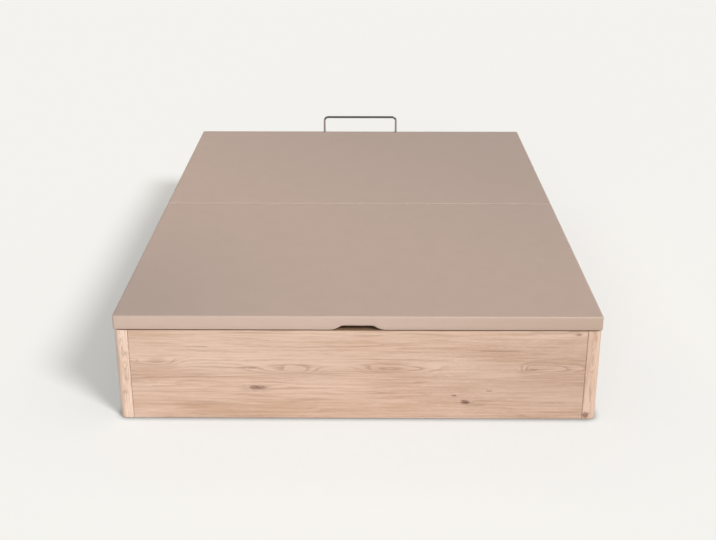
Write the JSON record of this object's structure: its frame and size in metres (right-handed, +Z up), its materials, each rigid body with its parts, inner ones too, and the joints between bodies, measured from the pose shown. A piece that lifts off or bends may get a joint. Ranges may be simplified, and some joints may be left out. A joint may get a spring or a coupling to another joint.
{
  "type": "storage bed base",
  "caption": "Storage bed base: an oak-look box on low glides with a fabric-covered lift-up lid in two halves, side gas struts, a grip notch and a steel mattress stop.",
  "frame": {"origin": "on the floor, under the middle of the base", "axes": "+Z up, +X to the right seen from the foot end, +Y towards the head end, where the lid is hinged and the mattress stop stands"},
  "size_m": [1.5, 1.9, 0.441],
  "materials": {
    "oak_laminate": "pale oak-look laminate with fine grain, matt",
    "pine": "planed bare pine",
    "floor_board": "pale melamine-faced board",
    "chipboard": "raw chipboard",
    "cover_fabric": "taupe spacer fabric with a fine knit",
    "lining_fabric": "dark non-woven lining",
    "foot_plastic": "matt black plastic",
    "bumper_rubber": "soft black rubber",
    "black_steel": "black powder coat",
    "stop_chrome": "polished",
    "eye_plastic": "black moulded nylon",
    "strut_paint": "satin black paint",
    "rod_chrome": "ground and polished",
    "zinc_steel": "bright zinc plate"
  },
  "bodies": {
    "base": {"corner_post_front_left": "oak_laminate", "corner_post_front_right": "oak_laminate", "corner_post_rear_left": "oak_laminate", "corner_post_rear_right": "oak_laminate", "front_panel": "oak_laminate", "rear_panel": "oak_laminate", "side_panel_left": "oak_laminate", "side_panel_right": "oak_laminate", "corner_dowels": "pine", "cam_bolts": "zinc_steel", "cam_locks": "zinc_steel", "ledger_left": "pine", "ledger_right": "pine", "ledger_front": "pine", "ledger_rear": "pine", "floor_board_front": "floor_board", "floor_board_middle": "floor_board", "floor_board_rear": "floor_board", "floor_batten_front": "pine", "floor_batten_rear": "pine", "batten_feet": "foot_plastic", "glides": "foot_plastic", "lid_bumpers": "bumper_rubber", "hinge_plate_left": "black_steel", "hinge_plate_right": "black_steel", "hinge_plate_screws": "zinc_steel", "hinge_pins": "zinc_steel", "lower_strut_studs": "zinc_steel"},
    "lid": {"lid_cover_foot": "cover_fabric", "lid_cover_head": "cover_fabric", "lid_board_foot": "chipboard", "lid_board_head": "chipboard", "lid_lining_foot": "lining_fabric", "lid_lining_head": "lining_fabric", "lid_rail_front": "pine", "lid_rail_rear": "pine", "lid_rail_middle_foot": "pine", "lid_rail_middle_head": "pine", "lid_rail_cross_foot": "pine", "lid_rail_cross_head": "pine", "lid_rail_side_foot_left": "pine", "lid_rail_side_foot_right": "pine", "lid_rail_side_head_left": "pine", "lid_rail_side_head_right": "pine", "lid_side_bar_left": "black_steel", "lid_side_bar_right": "black_steel", "lid_bar_screws": "zinc_steel", "joining_bolts": "zinc_steel", "joining_nuts": "zinc_steel", "upper_strut_studs": "zinc_steel", "mattress_stop": "stop_chrome", "stop_nuts": "zinc_steel"},
    "strut_rod_left": {"strut_rod_left": "rod_chrome", "strut_rod_eye_left": "eye_plastic"},
    "strut_tube_left": {"strut_tube_left": "strut_paint", "strut_tube_eye_left": "eye_plastic"},
    "strut_rod_right": {"strut_rod_right": "rod_chrome", "strut_rod_eye_right": "eye_plastic"},
    "strut_tube_right": {"strut_tube_right": "strut_paint", "strut_tube_eye_right": "eye_plastic"}
  },
  "joints": [
    {"name": "lid_hinge", "type": "hinge", "parent": "base", "child": "lid", "pos_m": [0, 0.934, 0.332], "axis": [-1, 0, 0], "range_deg": [0, 45]},
    {"name": "strut_foot_left", "type": "hinge", "parent": "base", "child": "strut_rod_left", "pos_m": [-0.695, 0.76396, 0.049], "axis": [-1, 0, 0], "range_deg": [0, 22.5]},
    {"name": "strut_top_left", "type": "hinge", "parent": "lid", "child": "strut_tube_left", "pos_m": [-0.695, 0.60465, 0.30897], "axis": [-1, 0, 0], "range_deg": [-22.5, 0]},
    {"name": "strut_foot_right", "type": "hinge", "parent": "base", "child": "strut_rod_right", "pos_m": [0.695, 0.76396, 0.049], "axis": [-1, 0, 0], "range_deg": [0, 22.5]},
    {"name": "strut_top_right", "type": "hinge", "parent": "lid", "child": "strut_tube_right", "pos_m": [0.695, 0.60465, 0.30897], "axis": [-1, 0, 0], "range_deg": [-22.5, 0]}
  ],
  "couplings": [
    {"joint": "strut_foot_left", "follows": "lid_hinge", "ratio": 0.5},
    {"joint": "strut_top_left", "follows": "lid_hinge", "ratio": -0.5},
    {"joint": "strut_foot_right", "follows": "lid_hinge", "ratio": 0.5},
    {"joint": "strut_top_right", "follows": "lid_hinge", "ratio": -0.5}
  ]
}
